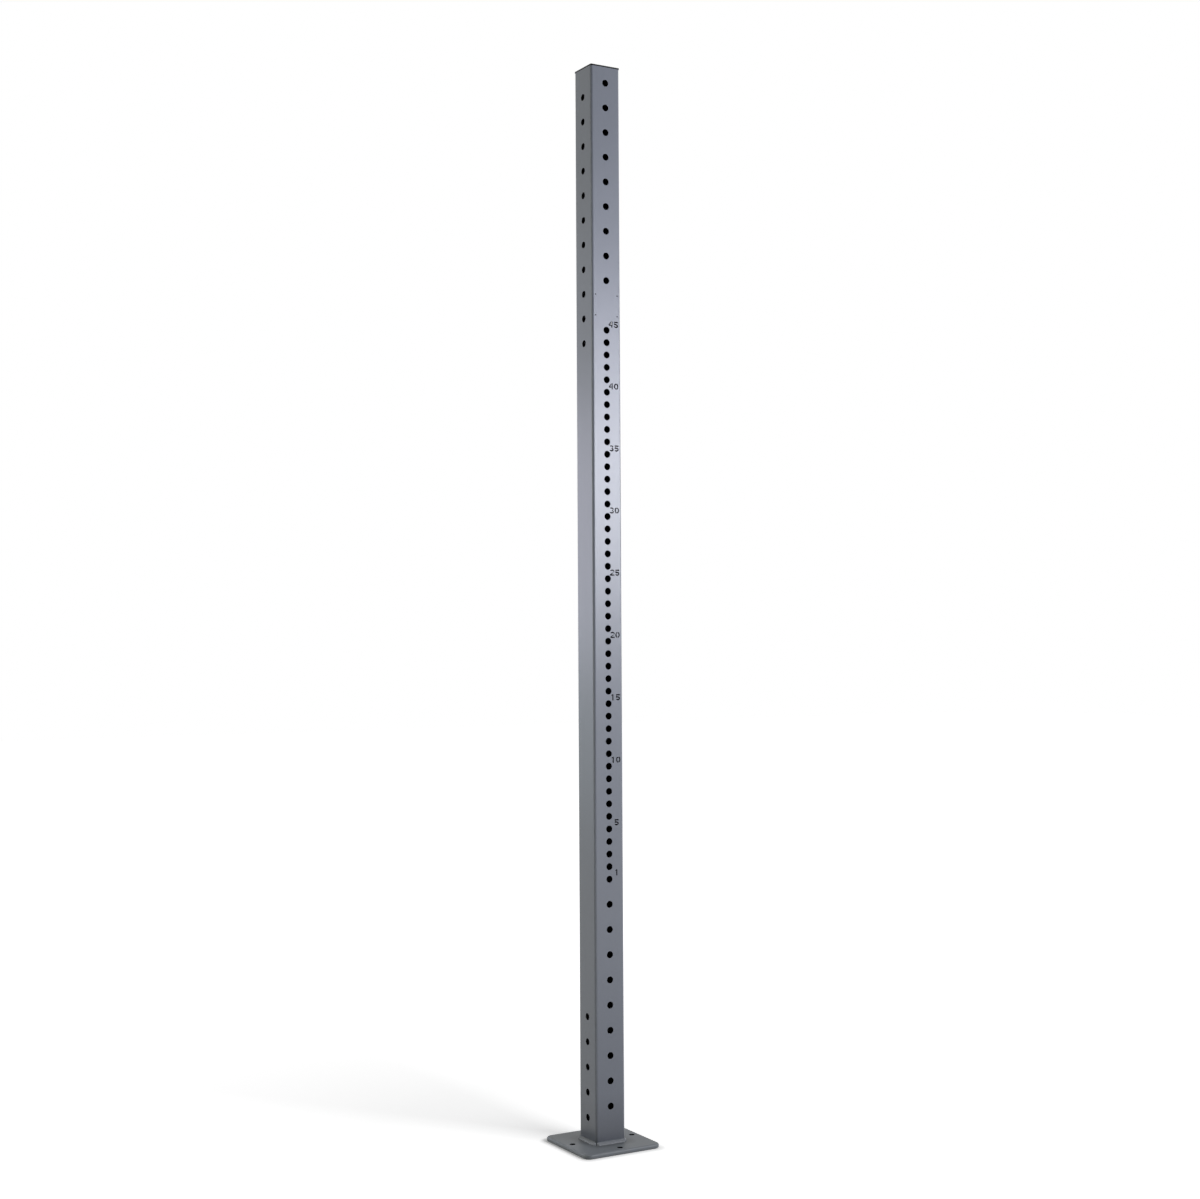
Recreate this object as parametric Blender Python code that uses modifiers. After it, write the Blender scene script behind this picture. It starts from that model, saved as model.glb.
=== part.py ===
# Rig upright: a square steel post full of pin holes, welded to a bolt-down foot plate,
# with a ribbed plastic plug in its open top. Metres, +Z up.
# The origin is the middle of the plate's underside. The numbered front faces -Y.
import math

import bmesh
import bpy
from mathutils import Matrix, Vector

CONTACT_GAP = 0.0003  # left between pieces that touch
MERGE_DISTANCE = 0.00001  # points this close are one point

# Post: cold-formed square tube
TUBE_SIDE = 0.080
TUBE_WALL = 0.004
TUBE_CORNER = 0.006  # outer corner radius, one and a half walls
CORNER_STEPS = 8

# Holes for pins, on a 30 mm grid that starts at the lowest front hole
HOLE_DIAMETER = 0.0165
HOLE_SIDES = 16
GRID = 0.030
FIRST_HOLE_Z = 0.100
LOW_WIDE_HOLES = 9  # every second grid line
CLOSE_HOLES = 45  # every grid line, the numbered column
HIGH_WIDE_HOLES = 9  # every second grid line
BLANK_GRID_LINES = 4  # plain face between the close holes and the high ones
LOW_SIDE_HOLES = 5
HIGH_SIDE_HOLES = 11
TOP_MARGIN = 0.039  # from the highest front hole to the cut end of the tube

# Four small rivet holes in the front wall, in the plain stretch
RIVET_HOLE_DIAMETER = 0.0032
RIVET_HOLE_SIDES = 12
RIVET_SPACING_X = 0.060
RIVET_SPACING_Z = 0.050

# Foot plate
PLATE_SIDE = 0.206
PLATE_THICKNESS = 0.012
PLATE_CORNER = 0.017
PLATE_EDGE_ROUND = 0.005
PLATE_ROUND_STEPS = 4
ANCHOR_HOLE_DIAMETER = 0.012
ANCHOR_HOLE_SIDES = 24
ANCHOR_REACH = 0.0825  # from the post's axis, in the middle of each plate side

# Fillet welds: where each run starts and ends along its face, and its leg
WELD_LEG = 0.007
WELD_END_ROUND = 0.004
WELD_END_STEPS = 4
WELD_RUNS = {
    "weld_front": (0, -0.038, 0.037),
    "weld_right": (90, -0.038, 0.038),
    "weld_back": (180, -0.038, 0.038),
    "weld_left": (270, -0.0395, 0.0375),
}

# Top plug: a flange on the tube's end, a hollow skirt inside it, fins round the skirt
FLANGE_THICKNESS = 0.0035
FLANGE_CORNER = 0.003
FLANGE_EDGE_ROUND = 0.0006
FLANGE_ROUND_STEPS = 2
SKIRT_SIDE = 0.066
SKIRT_WALL = 0.0025
SKIRT_CORNER = 0.004
SKIRT_DEPTH = 0.022
FIN_COUNT = 4
FIN_THICKNESS = 0.0012
FIN_FIRST_DEPTH = 0.005
FIN_PITCH = 0.0045
JOIN_OVERLAP = 0.001  # how far the plug's parts run into each other

TUBE_BOTTOM_Z = PLATE_THICKNESS + CONTACT_GAP
TOP_HOLE_LINE = (
    2 * LOW_WIDE_HOLES + CLOSE_HOLES + BLANK_GRID_LINES - 1 + 2 * (HIGH_WIDE_HOLES - 1)
)
TUBE_TOP_Z = FIRST_HOLE_Z + GRID * TOP_HOLE_LINE + TOP_MARGIN
BLANK_MIDDLE_LINE = 2 * LOW_WIDE_HOLES + CLOSE_HOLES - 1 + BLANK_GRID_LINES / 2


def clear_scene():
    for old in list(bpy.data.objects):
        bpy.data.objects.remove(old, do_unlink=True)


def new_collection(name):
    made = bpy.data.collections.new(name)
    bpy.context.scene.collection.children.link(made)
    return made


def principled(name, colour, roughness, metallic):
    material = bpy.data.materials.new(name)
    material.use_nodes = True
    shader = material.node_tree.nodes["Principled BSDF"]
    shader.inputs["Base Color"].default_value = (*colour, 1.0)
    shader.inputs["Roughness"].default_value = roughness
    shader.inputs["Metallic"].default_value = metallic
    return material


def rounded_square(side, corner):
    """Points round a square with arcs at its corners, counter-clockwise."""
    centre = side / 2 - corner
    points = []
    for quarter in range(4):
        middle = math.radians(45 + 90 * quarter)
        cx = math.copysign(centre, math.cos(middle))
        cy = math.copysign(centre, math.sin(middle))
        for step in range(CORNER_STEPS + 1):
            turn = math.radians(90 * quarter + 90 * step / CORNER_STEPS)
            points.append((cx + corner * math.cos(turn), cy + corner * math.sin(turn)))
    return points


def mesh_from_curve(curve_object, collection):
    """Swap a curve object for a closed mesh object of the same name and place."""
    name = curve_object.name
    bpy.context.view_layer.update()
    evaluated = curve_object.evaluated_get(bpy.context.evaluated_depsgraph_get())
    mesh = bpy.data.meshes.new_from_object(evaluated)
    work = bmesh.new()
    work.from_mesh(mesh)
    bmesh.ops.remove_doubles(work, verts=work.verts, dist=MERGE_DISTANCE)
    work.to_mesh(mesh)
    work.free()
    place = curve_object.matrix_world.copy()
    bpy.data.objects.remove(curve_object, do_unlink=True)
    made = bpy.data.objects.new(name, mesh)
    made.matrix_world = place
    collection.objects.link(made)
    return made


def extruded(name, outlines, bottom, top, collection):
    """A flat outline, with any inner outlines left open, made a slab from bottom to top."""
    curve = bpy.data.curves.new(name, "CURVE")
    curve.dimensions = "2D"
    curve.fill_mode = "BOTH"
    curve.extrude = (top - bottom) / 2
    for outline in outlines:
        spline = curve.splines.new("POLY")
        spline.points.add(len(outline) - 1)
        for point, (x, y) in zip(spline.points, outline):
            point.co = (x, y, 0, 1)
        spline.use_cyclic_u = True
    flat = bpy.data.objects.new(name, curve)
    flat.location.z = (bottom + top) / 2
    collection.objects.link(flat)
    return mesh_from_curve(flat, collection)


def soften_rims(slab, width, steps, rims):
    """Bevel the outline of a plain slab round its top face, its bottom face or both."""
    work = bmesh.new()
    work.from_mesh(slab.data)
    flat = math.radians(1)
    bmesh.ops.dissolve_limit(work, angle_limit=flat, verts=work.verts, edges=work.edges)
    weight = work.edges.layers.float.new("bevel_weight_edge")
    for edge in work.edges:
        facing = {round(face.normal.z) for face in edge.link_faces}
        if facing & rims and 0 in facing:
            edge[weight] = 1.0
    work.to_mesh(slab.data)
    work.free()
    bevel = slab.modifiers.new("softened rims", "BEVEL")
    bevel.limit_method = "WEIGHT"
    bevel.width = width
    bevel.segments = steps


def drills(name, diameter, sides, spots, along, length, collection):
    """One cutter of separate cylinders along X, Y or Z, through each (x, y, z) spot."""
    turn = {
        "X": Matrix.Rotation(math.radians(90), 4, "Y"),
        "Y": Matrix.Rotation(math.radians(90), 4, "X"),
        "Z": Matrix.Identity(4),
    }[along]
    facet = Matrix.Rotation(math.pi / sides, 4, "Z")
    work = bmesh.new()
    for spot in spots:
        bmesh.ops.create_cone(
            work,
            cap_ends=True,
            segments=sides,
            radius1=diameter / 2,
            radius2=diameter / 2,
            depth=length,
            matrix=Matrix.Translation(Vector(spot)) @ turn @ facet,
        )
    mesh = bpy.data.meshes.new(name)
    work.to_mesh(mesh)
    work.free()
    cutter = bpy.data.objects.new(name, mesh)
    collection.objects.link(cutter)
    return hidden(cutter)


def hidden(cutter):
    cutter.hide_render = True
    cutter.display_type = "WIRE"
    return cutter


def boolean(piece, other, operation, label):
    modifier = piece.modifiers.new(label, "BOOLEAN")
    modifier.operation = operation
    modifier.solver = "EXACT"
    modifier.object = other


def finish(piece, material):
    piece.data.materials.clear()
    piece.data.materials.append(material)
    piece.data.shade_smooth()
    piece.data.set_sharp_from_angle(angle=math.radians(30))


def front_hole_lines():
    """Grid lines of the front and back holes, counted up from the lowest."""
    low = [2 * step for step in range(LOW_WIDE_HOLES)]
    close_start = 2 * LOW_WIDE_HOLES
    close = [close_start + step for step in range(CLOSE_HOLES)]
    high_start = close[-1] + BLANK_GRID_LINES
    high = [high_start + 2 * step for step in range(HIGH_WIDE_HOLES)]
    return low + close + high


def side_hole_lines():
    """Grid lines of the left and right holes, halfway between the front's wide ones."""
    low = [2 * step - 1 for step in range(LOW_SIDE_HOLES)]
    high = [TOP_HOLE_LINE - 1 - 2 * step for step in range(HIGH_SIDE_HOLES)]
    return low + sorted(high)


def make_tube(parts, cutters, material):
    outer = rounded_square(TUBE_SIDE, TUBE_CORNER)
    inner = rounded_square(TUBE_SIDE - 2 * TUBE_WALL, TUBE_CORNER - TUBE_WALL)
    tube = extruded("upright_tube", [outer, inner], TUBE_BOTTOM_Z, TUBE_TOP_Z, parts)
    across = TUBE_SIDE * 1.5
    front_spots = [(0, 0, FIRST_HOLE_Z + GRID * line) for line in front_hole_lines()]
    side_spots = [(0, 0, FIRST_HOLE_Z + GRID * line) for line in side_hole_lines()]
    blank_z = FIRST_HOLE_Z + GRID * BLANK_MIDDLE_LINE
    rivet_spots = [
        (sx * RIVET_SPACING_X / 2, -TUBE_SIDE / 2, blank_z + sz * RIVET_SPACING_Z / 2)
        for sx in (-1, 1)
        for sz in (-1, 1)
    ]
    front = drills(
        "front_pin_holes", HOLE_DIAMETER, HOLE_SIDES, front_spots, "Y", across, cutters
    )
    sides = drills(
        "side_pin_holes", HOLE_DIAMETER, HOLE_SIDES, side_spots, "X", across, cutters
    )
    rivets = drills(
        "rivet_holes",
        RIVET_HOLE_DIAMETER,
        RIVET_HOLE_SIDES,
        rivet_spots,
        "Y",
        TUBE_WALL * 4,
        cutters,
    )
    boolean(tube, front, "DIFFERENCE", "front and back pin holes")
    boolean(tube, sides, "DIFFERENCE", "left and right pin holes")
    boolean(tube, rivets, "DIFFERENCE", "rivet holes")
    finish(tube, material)
    return tube


def make_plate(parts, cutters, material):
    outline = rounded_square(PLATE_SIDE, PLATE_CORNER)
    plate = extruded("base_plate", [outline], 0, PLATE_THICKNESS, parts)
    soften_rims(plate, PLATE_EDGE_ROUND, PLATE_ROUND_STEPS, {-1, 1})
    middle = PLATE_THICKNESS / 2
    quarters = [math.radians(90 * quarter) for quarter in range(4)]
    spots = [
        (ANCHOR_REACH * math.cos(turn), ANCHOR_REACH * math.sin(turn), middle)
        for turn in quarters
    ]
    anchors = drills(
        "anchor_holes",
        ANCHOR_HOLE_DIAMETER,
        ANCHOR_HOLE_SIDES,
        spots,
        "Z",
        PLATE_THICKNESS * 2,
        cutters,
    )
    boolean(plate, anchors, "DIFFERENCE", "anchor holes")
    finish(plate, material)
    return plate


def bead_stations(start, end):
    """Places along a bead and the share of its full radius there, with rounded ends."""
    blunt = math.radians(20)  # each end starts this far round its quarter circle
    quarter = math.radians(90)
    turns = [
        blunt + (quarter - blunt) * step / WELD_END_STEPS
        for step in range(WELD_END_STEPS + 1)
    ]
    entry = [(WELD_END_ROUND * (1 - math.cos(turn)), math.sin(turn)) for turn in turns]
    ahead = [(start + along, share) for along, share in entry]
    behind = [(end - along, share) for along, share in reversed(entry)]
    return ahead + behind


def make_weld(name, facing, start, end, parts, cutters, material):
    """A round bead laid along the foot of one face, cut back to the corner it fills."""
    wall = TUBE_SIDE / 2
    turn = Matrix.Rotation(math.radians(facing), 4, "Z")
    curve = bpy.data.curves.new(name, "CURVE")
    curve.dimensions = "3D"
    curve.bevel_depth = WELD_LEG + CONTACT_GAP
    curve.bevel_resolution = 4
    curve.use_fill_caps = True
    stations = bead_stations(start, end)
    spline = curve.splines.new("POLY")
    spline.points.add(len(stations) - 1)
    for point, (along, share) in zip(spline.points, stations):
        point.co = (along, -wall, PLATE_THICKNESS, 1)
        point.radius = share
    bead = bpy.data.objects.new(name, curve)
    bead.matrix_world = turn
    parts.objects.link(bead)
    bead = mesh_from_curve(bead, parts)
    keep_size = 0.1
    bpy.ops.mesh.primitive_cube_add(size=keep_size)
    keep = bpy.context.active_object
    keep.name = name + "_room"
    for owner in list(keep.users_collection):
        owner.objects.unlink(keep)
    cutters.objects.link(keep)
    keep.matrix_world = turn @ Matrix.Translation(
        (
            0,
            -wall - CONTACT_GAP - keep_size / 2,
            PLATE_THICKNESS + CONTACT_GAP + keep_size / 2,
        )
    )
    hidden(keep)
    boolean(bead, keep, "INTERSECT", "outside the tube and above the plate")
    finish(bead, material)
    return bead


def make_cap(parts, cutters, material):
    seat = TUBE_TOP_Z + CONTACT_GAP
    top = seat + FLANGE_THICKNESS
    flange_outline = rounded_square(TUBE_SIDE, FLANGE_CORNER)
    cap = extruded("top_cap", [flange_outline], seat, top, parts)
    soften_rims(cap, FLANGE_EDGE_ROUND, FLANGE_ROUND_STEPS, {1})
    skirt_outer = rounded_square(SKIRT_SIDE, SKIRT_CORNER)
    skirt_inner = rounded_square(SKIRT_SIDE - 2 * SKIRT_WALL, SKIRT_CORNER - SKIRT_WALL)
    skirt = extruded(
        "plug_skirt",
        [skirt_outer, skirt_inner],
        seat - SKIRT_DEPTH,
        seat + JOIN_OVERLAP,
        cutters,
    )
    boolean(cap, hidden(skirt), "UNION", "skirt")
    fin_side = TUBE_SIDE - 2 * TUBE_WALL - 2 * CONTACT_GAP
    fin_outer = rounded_square(fin_side, TUBE_CORNER - TUBE_WALL - CONTACT_GAP)
    fin_inner = rounded_square(SKIRT_SIDE - 2 * JOIN_OVERLAP, SKIRT_CORNER - JOIN_OVERLAP)
    for number in range(FIN_COUNT):
        middle = seat - FIN_FIRST_DEPTH - FIN_PITCH * number
        fin = extruded(
            f"plug_fin_{number + 1}",
            [fin_outer, fin_inner],
            middle - FIN_THICKNESS / 2,
            middle + FIN_THICKNESS / 2,
            cutters,
        )
        boolean(cap, hidden(fin), "UNION", f"fin {number + 1}")
    finish(cap, material)
    return cap


def main():
    clear_scene()
    parts = new_collection("rig_upright")
    cutters = new_collection("cutters")
    coat = principled("grey powder coat", (0.15, 0.163, 0.185), 0.35, 0.0)
    plastic = principled("black plastic", (0.012, 0.012, 0.013), 0.5, 0.0)
    make_tube(parts, cutters, coat)
    make_plate(parts, cutters, coat)
    for name, (facing, start, end) in WELD_RUNS.items():
        make_weld(name, facing, start, end, parts, cutters, coat)
    make_cap(parts, cutters, plastic)


main()
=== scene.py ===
# A rig upright: a square steel post full of pin holes, welded to a bolt-down foot plate.
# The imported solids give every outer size; this script gives each piece its fine shape and finish.
import math

import bmesh
import bpy
from mathutils import Matrix, Vector


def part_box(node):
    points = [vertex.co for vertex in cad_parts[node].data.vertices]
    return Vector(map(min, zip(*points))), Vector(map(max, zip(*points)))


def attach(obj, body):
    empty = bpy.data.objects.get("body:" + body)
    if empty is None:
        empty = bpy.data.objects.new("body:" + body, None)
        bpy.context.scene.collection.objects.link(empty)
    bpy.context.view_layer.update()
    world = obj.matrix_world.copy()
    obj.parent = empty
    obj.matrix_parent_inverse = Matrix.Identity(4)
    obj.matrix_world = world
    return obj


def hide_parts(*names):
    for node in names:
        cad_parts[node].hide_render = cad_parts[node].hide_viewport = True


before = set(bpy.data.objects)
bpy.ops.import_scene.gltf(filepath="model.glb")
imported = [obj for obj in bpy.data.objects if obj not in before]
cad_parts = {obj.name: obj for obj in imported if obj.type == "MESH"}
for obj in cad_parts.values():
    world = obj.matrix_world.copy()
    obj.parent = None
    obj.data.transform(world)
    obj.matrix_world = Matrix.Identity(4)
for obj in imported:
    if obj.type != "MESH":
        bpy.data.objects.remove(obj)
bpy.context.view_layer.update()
scene = bpy.context.scene
tubeLow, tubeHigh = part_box("upright_tube")
plateLow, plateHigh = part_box("base_plate")
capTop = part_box("top_cap")[1].z
print("frame loaded")


# Small helpers for node trees

def addNode(tree, kind, feeds=None, **settings):
    node = tree.nodes.new(kind)
    for name, value in settings.items():
        setattr(node, name, value)
    for name, value in (feeds or {}).items():
        feed(tree, node.inputs[name], value)
    return node


def feed(tree, socket, value):
    if isinstance(value, bpy.types.NodeSocket):
        tree.links.new(value, socket)
    else:
        socket.default_value = value


def calc(tree, operation, *values):
    node = addNode(tree, "ShaderNodeMath", operation=operation)
    for socket, value in zip(node.inputs, values):
        feed(tree, socket, value)
    return node.outputs[0]


def vector(tree, x=0.0, y=0.0, z=0.0):
    return addNode(tree, "ShaderNodeCombineXYZ", {"X": x, "Y": y, "Z": z}).outputs[0]


def ramp(tree, value, start, end, low=0.0, high=1.0):
    # low up to start, high from end on, and a straight change between
    return addNode(tree, "ShaderNodeMapRange", {
        "Value": value, "From Min": start, "From Max": end, "To Min": low, "To Max": high,
    }).outputs[0]


def noise(tree, place, scale, detail, roughness=0.5):
    feeds = {"Vector": place, "Scale": scale, "Detail": detail, "Roughness": roughness}
    return addNode(tree, "ShaderNodeTexNoise", feeds).outputs[0]


def mixColors(tree, factor, first, second):
    # a mix of colours has its factor in socket 0 and the colours in 6 and 7
    node = addNode(tree, "ShaderNodeMix", data_type="RGBA")
    for place, value in ((0, factor), (6, first), (7, second)):
        feed(tree, node.inputs[place], value)
    return node.outputs[2]


def scaleColor(tree, color, factor, result):
    scaled = addNode(tree, "ShaderNodeVectorMath", {0: color}, operation="SCALE")
    feed(tree, scaled.inputs["Scale"], factor)
    tree.links.new(scaled.outputs[0], result)


def addGroup(tree, group, feeds):
    node = addNode(tree, tree.bl_idname.replace("Tree", "Group"), node_tree=group)
    for name, value in feeds.items():
        feed(tree, node.inputs[name], value)
    return node


def shapeOf(tree, piece):
    return addNode(tree, "GeometryNodeObjectInfo", {"Object": piece}).outputs["Geometry"]


def move(tree, geometry, shift=(0, 0, 0), turn=(0, 0, 0)):
    feeds = {"Geometry": geometry, "Translation": shift, "Rotation": turn}
    return addNode(tree, "GeometryNodeTransform", feeds).outputs[0]


def join(tree, *parts):
    node = addNode(tree, "GeometryNodeJoinGeometry")
    for part in parts:
        tree.links.new(part, node.inputs[0])
    return node.outputs[0]


valueKinds = {float: "Float", int: "Int", tuple: "Color"}


def newTree(name, kind, ins, outs):
    # an input is given by its default value, or by its kind where it has none, and an output by its kind
    tree = bpy.data.node_groups.new(name, kind)
    for label, value in ins.items():
        plain = isinstance(value, str)
        socketType = "NodeSocket" + (value if plain else valueKinds[type(value)])
        socket = tree.interface.new_socket(label, in_out="INPUT", socket_type=socketType)
        if not plain:
            socket.default_value = value
    for label, socketKind in outs.items():
        tree.interface.new_socket(label, in_out="OUTPUT", socket_type="NodeSocket" + socketKind)
    return tree, addNode(tree, "NodeGroupInput").outputs, addNode(tree, "NodeGroupOutput").inputs


def endTree(tree, geometry, given, out):
    # real faces that wear their material, as the end of a piece's tree
    real = addNode(tree, "GeometryNodeRealizeInstances", {"Geometry": geometry})
    coated = addNode(tree, "GeometryNodeSetMaterial", {
        "Geometry": real.outputs[0], "Material": given["Material"],
    })
    tree.links.new(coated.outputs[0], out["Geometry"])


def useTree(piece, tree, sizes, others):
    # an input takes what others holds for it, or else the size that has its name
    modifier = piece.modifiers.new(tree.name, "NODES")
    modifier.node_group = tree
    for item in tree.interface.items_tree:
        words = item.name.split()
        sizeName = words[0].lower() + "".join(words[1:])
        value = others.get(item.name, sizes.get(sizeName))
        if item.in_out == "INPUT" and value is not None:
            modifier[item.identifier] = value


# Small helpers for meshes

samePlace = 0.00001  # points nearer than this are one


def roundedSquare(side, radius, steps, z=0.0):
    centre = side / 2 - radius
    points = []
    for quarter in range(4):
        middle = math.radians(45 + 90 * quarter)
        cx = math.copysign(centre, math.cos(middle))
        cy = math.copysign(centre, math.sin(middle))
        for step in range(steps + 1):
            turn = math.radians(90 * (quarter + step / steps))
            points.append(Vector((cx + radius * math.cos(turn), cy + radius * math.sin(turn), z)))
    return points


def stackRings(work, rings, closeFirst=False, closeLast=False):
    rows = [[work.verts.new(point) for point in ring] for ring in rings]
    for low, high in zip(rows, rows[1:]):
        for here in range(len(low)):
            after = (here + 1) % len(low)
            work.faces.new((low[here], low[after], high[after], high[here]))
    if closeFirst:
        work.faces.new(rows[0][::-1])
    if closeLast:
        work.faces.new(rows[-1])


def newPiece(name, work=None):
    mesh = bpy.data.meshes.new(name)
    if work:
        work.to_mesh(mesh)
        work.free()
    piece = bpy.data.objects.new(name, mesh)
    scene.collection.objects.link(piece)
    return piece


def newOutline(name, outlines):
    curve = bpy.data.curves.new(name, "CURVE")
    curve.dimensions = "2D"
    curve.fill_mode = "NONE"
    for outline in outlines:
        spline = curve.splines.new("POLY")
        spline.points.add(len(outline) - 1)
        for point, place in zip(spline.points, outline):
            point.co = (place[0], place[1], 0, 1)
        spline.use_cyclic_u = True
    made = bpy.data.objects.new(name, curve)
    scene.collection.objects.link(made)
    return made


def flatten(piece):
    bpy.context.view_layer.update()
    evaluated = piece.evaluated_get(bpy.context.evaluated_depsgraph_get())
    mesh = bpy.data.meshes.new_from_object(evaluated)
    piece.modifiers.clear()
    piece.data = mesh
    mesh.name = piece.name


def smoothPiece(piece, sharpAngle):
    work = bmesh.new()
    work.from_mesh(piece.data)
    bmesh.ops.remove_doubles(work, verts=work.verts, dist=samePlace)
    bmesh.ops.recalc_face_normals(work, faces=work.faces)
    openEdges = sum(1 for edge in work.edges if not edge.is_manifold)
    work.to_mesh(piece.data)
    work.free()
    piece.data.shade_smooth()
    piece.data.set_sharp_from_angle(angle=math.radians(sharpAngle))
    weighted = piece.modifiers.new("flat faces stay flat", "WEIGHTED_NORMAL")
    weighted.keep_sharp = True
    flatten(piece)
    print(piece.name, len(piece.data.polygons), "faces,", openEdges, "open edges")


def drop(*helpers):
    for helper in helpers:
        bpy.data.objects.remove(helper, do_unlink=True)


def handOver(piece, node):
    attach(piece, "root")
    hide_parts(node)


# Finishes: shared effects are groups, and each material places them with its own values

def buildOrangePeel():
    # the low dimples of a baked powder coat, with a finer grain on top
    ins = {
        "Vector": "Vector",
        "Dimple Scale": 420.0,
        "Grain Scale": 2200.0,
        "Grain Share": 0.3,
    }
    tree, given, out = newTree("orange peel", "ShaderNodeTree", ins, {"Height": "Float"})
    dimples = noise(tree, given["Vector"], given["Dimple Scale"], detail=2.0, roughness=0.45)
    grain = noise(tree, given["Vector"], given["Grain Scale"], detail=1.0)
    fine = calc(tree, "MULTIPLY", grain, given["Grain Share"])
    tree.links.new(calc(tree, "ADD", dimples, fine), out["Height"])
    return tree


def buildPaintedTone():
    # slow changes of tone down the length, as a coat sprayed in passes has
    ins = {
        "Vector": "Vector",
        "Color": (0.2, 0.2, 0.2, 1.0),
        "Patch Scale": 3.0,
        "Strength": 0.06,
    }
    outs = {"Color": "Color", "Patches": "Float"}
    tree, given, out = newTree("painted tone", "ShaderNodeTree", ins, outs)
    patches = noise(tree, given["Vector"], given["Patch Scale"], detail=4.0, roughness=0.55)
    centred = calc(tree, "SUBTRACT", patches, 0.5)
    gain = calc(tree, "MULTIPLY_ADD", centred, given["Strength"], 1.0)
    scaleColor(tree, given["Color"], gain, out["Color"])
    tree.links.new(patches, out["Patches"])
    return tree


def buildWallDepth():
    # how far a point lies under the outer skin of a round-cornered square tube, in metres
    ins = {
        "Vector": "Vector",
        "Half Side": 0.04,
        "Corner Radius": 0.006,
    }
    tree, given, out = newTree("wall depth", "ShaderNodeTree", ins, {"Depth": "Float"})
    parts = addNode(tree, "ShaderNodeSeparateXYZ", {"Vector": given["Vector"]})
    centre = calc(tree, "SUBTRACT", given["Half Side"], given["Corner Radius"])
    beyond = []
    for axis in ("X", "Y"):
        reach = calc(tree, "SUBTRACT", calc(tree, "ABSOLUTE", parts.outputs[axis]), centre)
        beyond.append(calc(tree, "MAXIMUM", reach, 0.0))
    squares = [calc(tree, "MULTIPLY", value, value) for value in beyond]
    radius = calc(tree, "SQRT", calc(tree, "ADD", *squares))
    tree.links.new(calc(tree, "SUBTRACT", given["Corner Radius"], radius), out["Depth"])
    return tree


def buildBoreDepth():
    # how far a point lies inside the rim of the nearest of four upright bores, one on each side
    ins = {
        "Vector": "Vector",
        "Reach": 0.08,
        "Radius": 0.006,
    }
    tree, given, out = newTree("bore depth", "ShaderNodeTree", ins, {"Depth": "Float"})
    parts = addNode(tree, "ShaderNodeSeparateXYZ", {"Vector": given["Vector"]})
    sides = [calc(tree, "ABSOLUTE", parts.outputs[axis]) for axis in ("X", "Y")]
    along = calc(tree, "SUBTRACT", calc(tree, "MAXIMUM", *sides), given["Reach"])
    across = calc(tree, "MINIMUM", *sides)
    squares = [calc(tree, "MULTIPLY", value, value) for value in (along, across)]
    away = calc(tree, "SQRT", calc(tree, "ADD", *squares))
    tree.links.new(calc(tree, "SUBTRACT", given["Radius"], away), out["Depth"])
    return tree


def buildToeGrime():
    # painted shade and reflection on the plate round the beads: darkest at their toes, gone a little way
    # out
    ins = {
        "Vector": "Vector",
        "Color": (0.15, 0.16, 0.17, 1.0),
        "Crest": 0.0035,
        "Toe": 0.0068,
        "Fade": 0.012,
        "Clean": 0.03,
        "Strength": 0.36,
    }
    tree, given, out = newTree("toe grime", "ShaderNodeTree", ins, {"Color": "Color"})
    depth = addGroup(tree, wallDepth, {"Vector": given["Vector"]}).outputs["Depth"]
    away = calc(tree, "MULTIPLY", depth, -1.0)
    rise = ramp(tree, away, given["Crest"], given["Toe"])
    fall = ramp(tree, away, given["Fade"], given["Clean"], 1.0, 0.0)
    shadeAmount = calc(tree, "MULTIPLY", calc(tree, "MINIMUM", rise, fall), given["Strength"])
    scaleColor(tree, given["Color"], calc(tree, "SUBTRACT", 1.0, shadeAmount), out["Color"])
    return tree


def buildFootGrime():
    # painted shade on the post itself, just over the plate, darkest at the plate
    ins = {
        "Vector": "Vector",
        "Color": (0.15, 0.16, 0.17, 1.0),
        "Low": plateHigh.z,
        "High": 0.13,
        "Strength": 0.4,
    }
    tree, given, out = newTree("foot grime", "ShaderNodeTree", ins, {"Color": "Color"})
    height = addNode(tree, "ShaderNodeSeparateXYZ", {"Vector": given["Vector"]}).outputs["Z"]
    shadeAmount = ramp(tree, height, given["Low"], given["High"], given["Strength"], 0.0)
    scaleColor(tree, given["Color"], calc(tree, "SUBTRACT", 1.0, shadeAmount), out["Color"])
    return tree


orangePeel = buildOrangePeel()
paintedTone = buildPaintedTone()
wallDepth = buildWallDepth()
boreDepth = buildBoreDepth()
toeShade = buildToeGrime()
footShade = buildFootGrime()


def newMaterial(name):
    material = bpy.data.materials.new(name)
    material.use_nodes = True
    tree = material.node_tree
    coords = addNode(tree, "ShaderNodeTexCoord").outputs["Object"]
    return material, tree, tree.nodes["Principled BSDF"], coords


coatLooks = {
    "color": (0.15, 0.163, 0.185, 1.0),
    "footColor": (0.15, 0.162, 0.168, 1.0),
    # lighter than the foot's: a painted highlight for the light the bead crests catch
    "beadColor": (0.195, 0.207, 0.214, 1.0),
    "postRoughness": 0.29,
    "footRoughness": 0.5,  # the foot is scuffed dull
    "beadRoughness": 0.4,
    "roughnessSpread": 0.06,
    "patchScale": 2.6,
    "patchStrength": 0.1,
    "dimpleHeight": 0.00004,
    # painted shade: the bores and the tube's inside are coloured near black, matt and metallic, where they
    # lie in shadow
    "insideColor": (0.006, 0.006, 0.007, 1.0),
    "insideRoughness": 0.9,
    "insideMetallic": 1.0,  # metallic, so this painted shade loses its reflection too
    "insideStarts": 0.00005,  # metres under the skin where the painted shade of a bore begins
    "insideFull": 0.0004,
}


def addTone(tree, coords, looks, color, roughness):
    # a coat's colour and roughness, which change in the same slow patches
    tone = addGroup(tree, paintedTone, {
        "Vector": coords, "Color": color,
        "Patch Scale": looks["patchScale"], "Strength": looks["patchStrength"],
    })
    spread = calc(tree, "SUBTRACT", tone.outputs["Patches"], 0.5)
    rough = calc(tree, "MULTIPLY_ADD", spread, looks["roughnessSpread"], roughness)
    return tone.outputs["Color"], rough


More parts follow.
